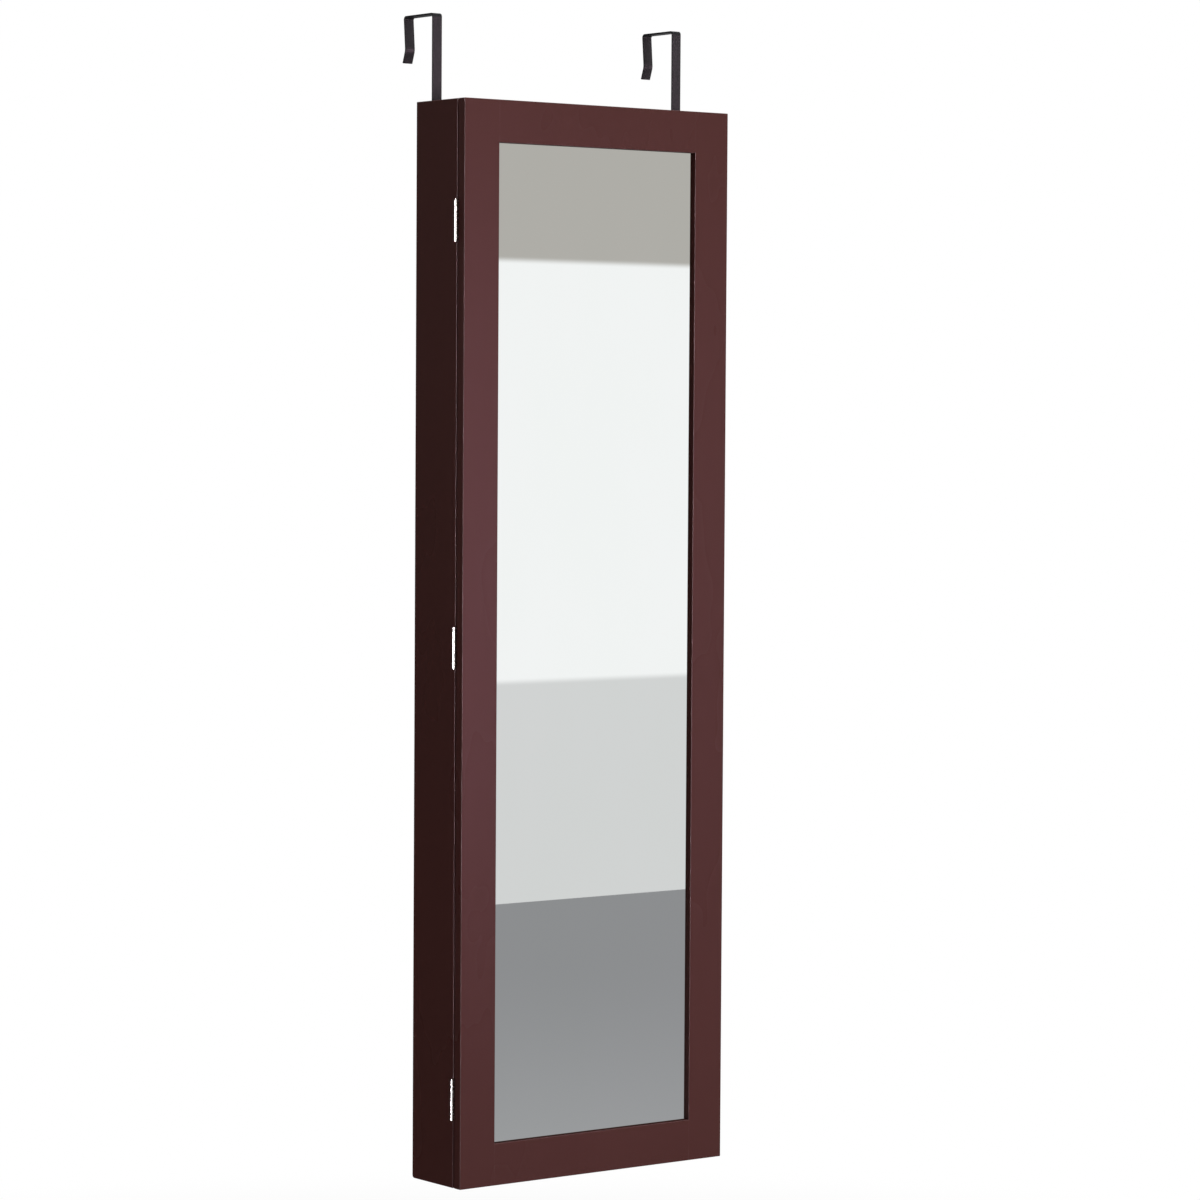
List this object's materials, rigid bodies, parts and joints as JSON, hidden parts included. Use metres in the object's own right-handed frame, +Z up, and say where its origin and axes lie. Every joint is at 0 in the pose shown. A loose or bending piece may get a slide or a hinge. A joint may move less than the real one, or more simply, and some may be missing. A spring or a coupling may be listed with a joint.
{
  "type": "mirrored jewelry cabinet",
  "caption": "Tall shallow jewelry cabinet that hangs over a room door on strap hooks or on a wall, with a framed mirror door on side hinges and velvet-lined storage inside.",
  "frame": {"origin": "bottom centre of the back plane, which lies against the room door or wall", "axes": "+Z up along the cabinet's height, +Y out of its back, +X to the right seen from the front"},
  "size_m": [0.3725, 0.1354, 1.298],
  "materials": {
    "mahogany_paint": "satin dark mahogany paint on board",
    "back_board": "dull dark brown board",
    "velvet": "black velvet",
    "dowel_wood": "bare beech",
    "hook_black": "satin black paint on steel",
    "hinge_nickel": "bright nickel plate",
    "screw_steel": "zinc-plated steel",
    "bright_rod": "polished",
    "black_plastic": "fine satin",
    "magnet_dark": "dull ferrite",
    "clear_rubber": "soft, cloudy",
    "mirror": "silvered behind clear glass"
  },
  "bodies": {
    "case": {"case_dowels": "dowel_wood", "hinge_case_screws": "hinge_nickel", "hook_screws": "screw_steel", "necklace_rail_screws": "screw_steel", "socket_screws": "screw_steel", "catch_screws": "screw_steel", "left_side_panel": "mahogany_paint", "right_side_panel": "mahogany_paint", "bottom_panel": "mahogany_paint", "top_panel": "mahogany_paint", "back_panel": "back_board", "back_lining": "velvet", "rear_top_rail": "mahogany_paint", "rear_bottom_rail": "mahogany_paint", "bottle_shelf": "mahogany_paint", "bracelet_shelf": "mahogany_paint", "lipstick_shelf": "mahogany_paint", "ring_shelf": "mahogany_paint", "necklace_shelf": "mahogany_paint", "shelf_linings": "velvet", "shelf_rods": "bright_rod", "necklace_rail": "mahogany_paint", "necklace_hooks": "bright_rod", "necklace_pocket": "velvet", "ring_board": "velvet", "ring_rolls": "velvet", "lipstick_holder": "black_plastic", "bracelet_rod": "bright_rod", "bracelet_rod_sockets": "black_plastic", "catch_magnet": "magnet_dark", "catch_housing": "black_plastic", "bumper_pads": "clear_rubber", "hinge_case_leaves": "hinge_nickel", "hinge_pins": "hinge_nickel", "left_door_hook": "hook_black", "right_door_hook": "hook_black"},
    "door": {"hinge_door_leaves": "hinge_nickel", "hinge_door_screws": "hinge_nickel", "door_left_stile": "mahogany_paint", "door_right_stile": "mahogany_paint", "door_top_rail": "mahogany_paint", "door_bottom_rail": "mahogany_paint", "door_dowels": "dowel_wood", "mirror_glass": "mirror", "mirror_backer": "back_board", "door_lining": "velvet", "backer_screws": "screw_steel", "upper_earring_board": "black_plastic", "lower_earring_board": "black_plastic", "earring_board_posts": "black_plastic", "earring_board_screws": "screw_steel", "strike_plate": "screw_steel", "strike_screw": "screw_steel"}
  },
  "joints": [
    {"name": "door_hinge", "type": "hinge", "parent": "case", "child": "door", "pos_m": [-0.1863, -0.08, 0.598], "axis": [0, 0, -1], "range_deg": [0, 180]}
  ]
}
